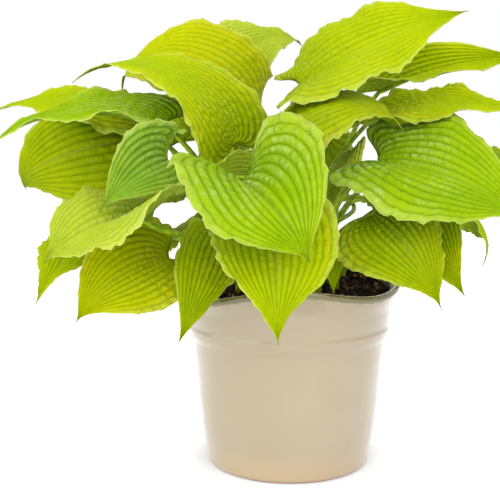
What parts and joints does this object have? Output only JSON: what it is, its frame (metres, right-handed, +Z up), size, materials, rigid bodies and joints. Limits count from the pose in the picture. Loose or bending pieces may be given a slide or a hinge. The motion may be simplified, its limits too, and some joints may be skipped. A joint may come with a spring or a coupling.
{
  "type": "potted hosta",
  "caption": "Hosta plant with broad ribbed heart-shaped chartreuse leaves, growing in a tapered glazed pot with a pinched wavy lip and filled with soil.",
  "frame": {"origin": "centre of the pot's foot, on the surface that it stands on", "axes": "+Z up along the pot's axis, the front of the plant faces -Y, +X to the plant's right as seen from the front"},
  "size_m": [0.6202, 0.5032, 0.5081],
  "materials": {
    "pot_glaze": "gloss",
    "soil": "matte",
    "leaf_fresh": "satin",
    "leaf_bright": "satin",
    "leaf_deep": "satin",
    "leaf_golden": "satin",
    "leaf_blue": "matte, waxy bloom",
    "leaf_pale": "satin"
  },
  "bodies": {
    "root": {"pot": "pot_glaze", "soil": "soil", "leaf_front_centre": "leaf_fresh", "leaf_right_large": "leaf_fresh", "leaf_top_right": "leaf_bright", "leaf_far_right_top": "leaf_bright", "leaf_right_rear": "leaf_bright", "leaf_centre_dome": "leaf_deep", "leaf_top_left": "leaf_golden", "leaf_folded": "leaf_bright", "leaf_left_long": "leaf_fresh", "leaf_left_rear": "leaf_bright", "leaf_left_round": "leaf_deep", "leaf_left_curled": "leaf_blue", "leaf_left_low": "leaf_pale", "leaf_front_left_low": "leaf_golden", "leaf_far_left_low": "leaf_bright", "leaf_front_left": "leaf_deep", "leaf_front_low": "leaf_bright", "leaf_front_right_narrow": "leaf_bright", "leaf_front_right": "leaf_deep", "leaf_right_low": "leaf_bright", "leaf_top_rear": "leaf_pale", "leaf_centre_twisted": "leaf_pale", "leaf_right_hidden": "leaf_bright", "leaf_left_inner": "leaf_deep", "leaf_back_right_low": "leaf_bright", "leaf_back_low": "leaf_bright", "leaf_back_left_low": "leaf_bright", "leaf_back_left_side": "leaf_bright", "leaf_back_right": "leaf_bright", "leaf_back_left": "leaf_bright", "leaf_back_centre": "leaf_bright", "leaf_side_right_low": "leaf_bright"}
  },
  "joints": []
}
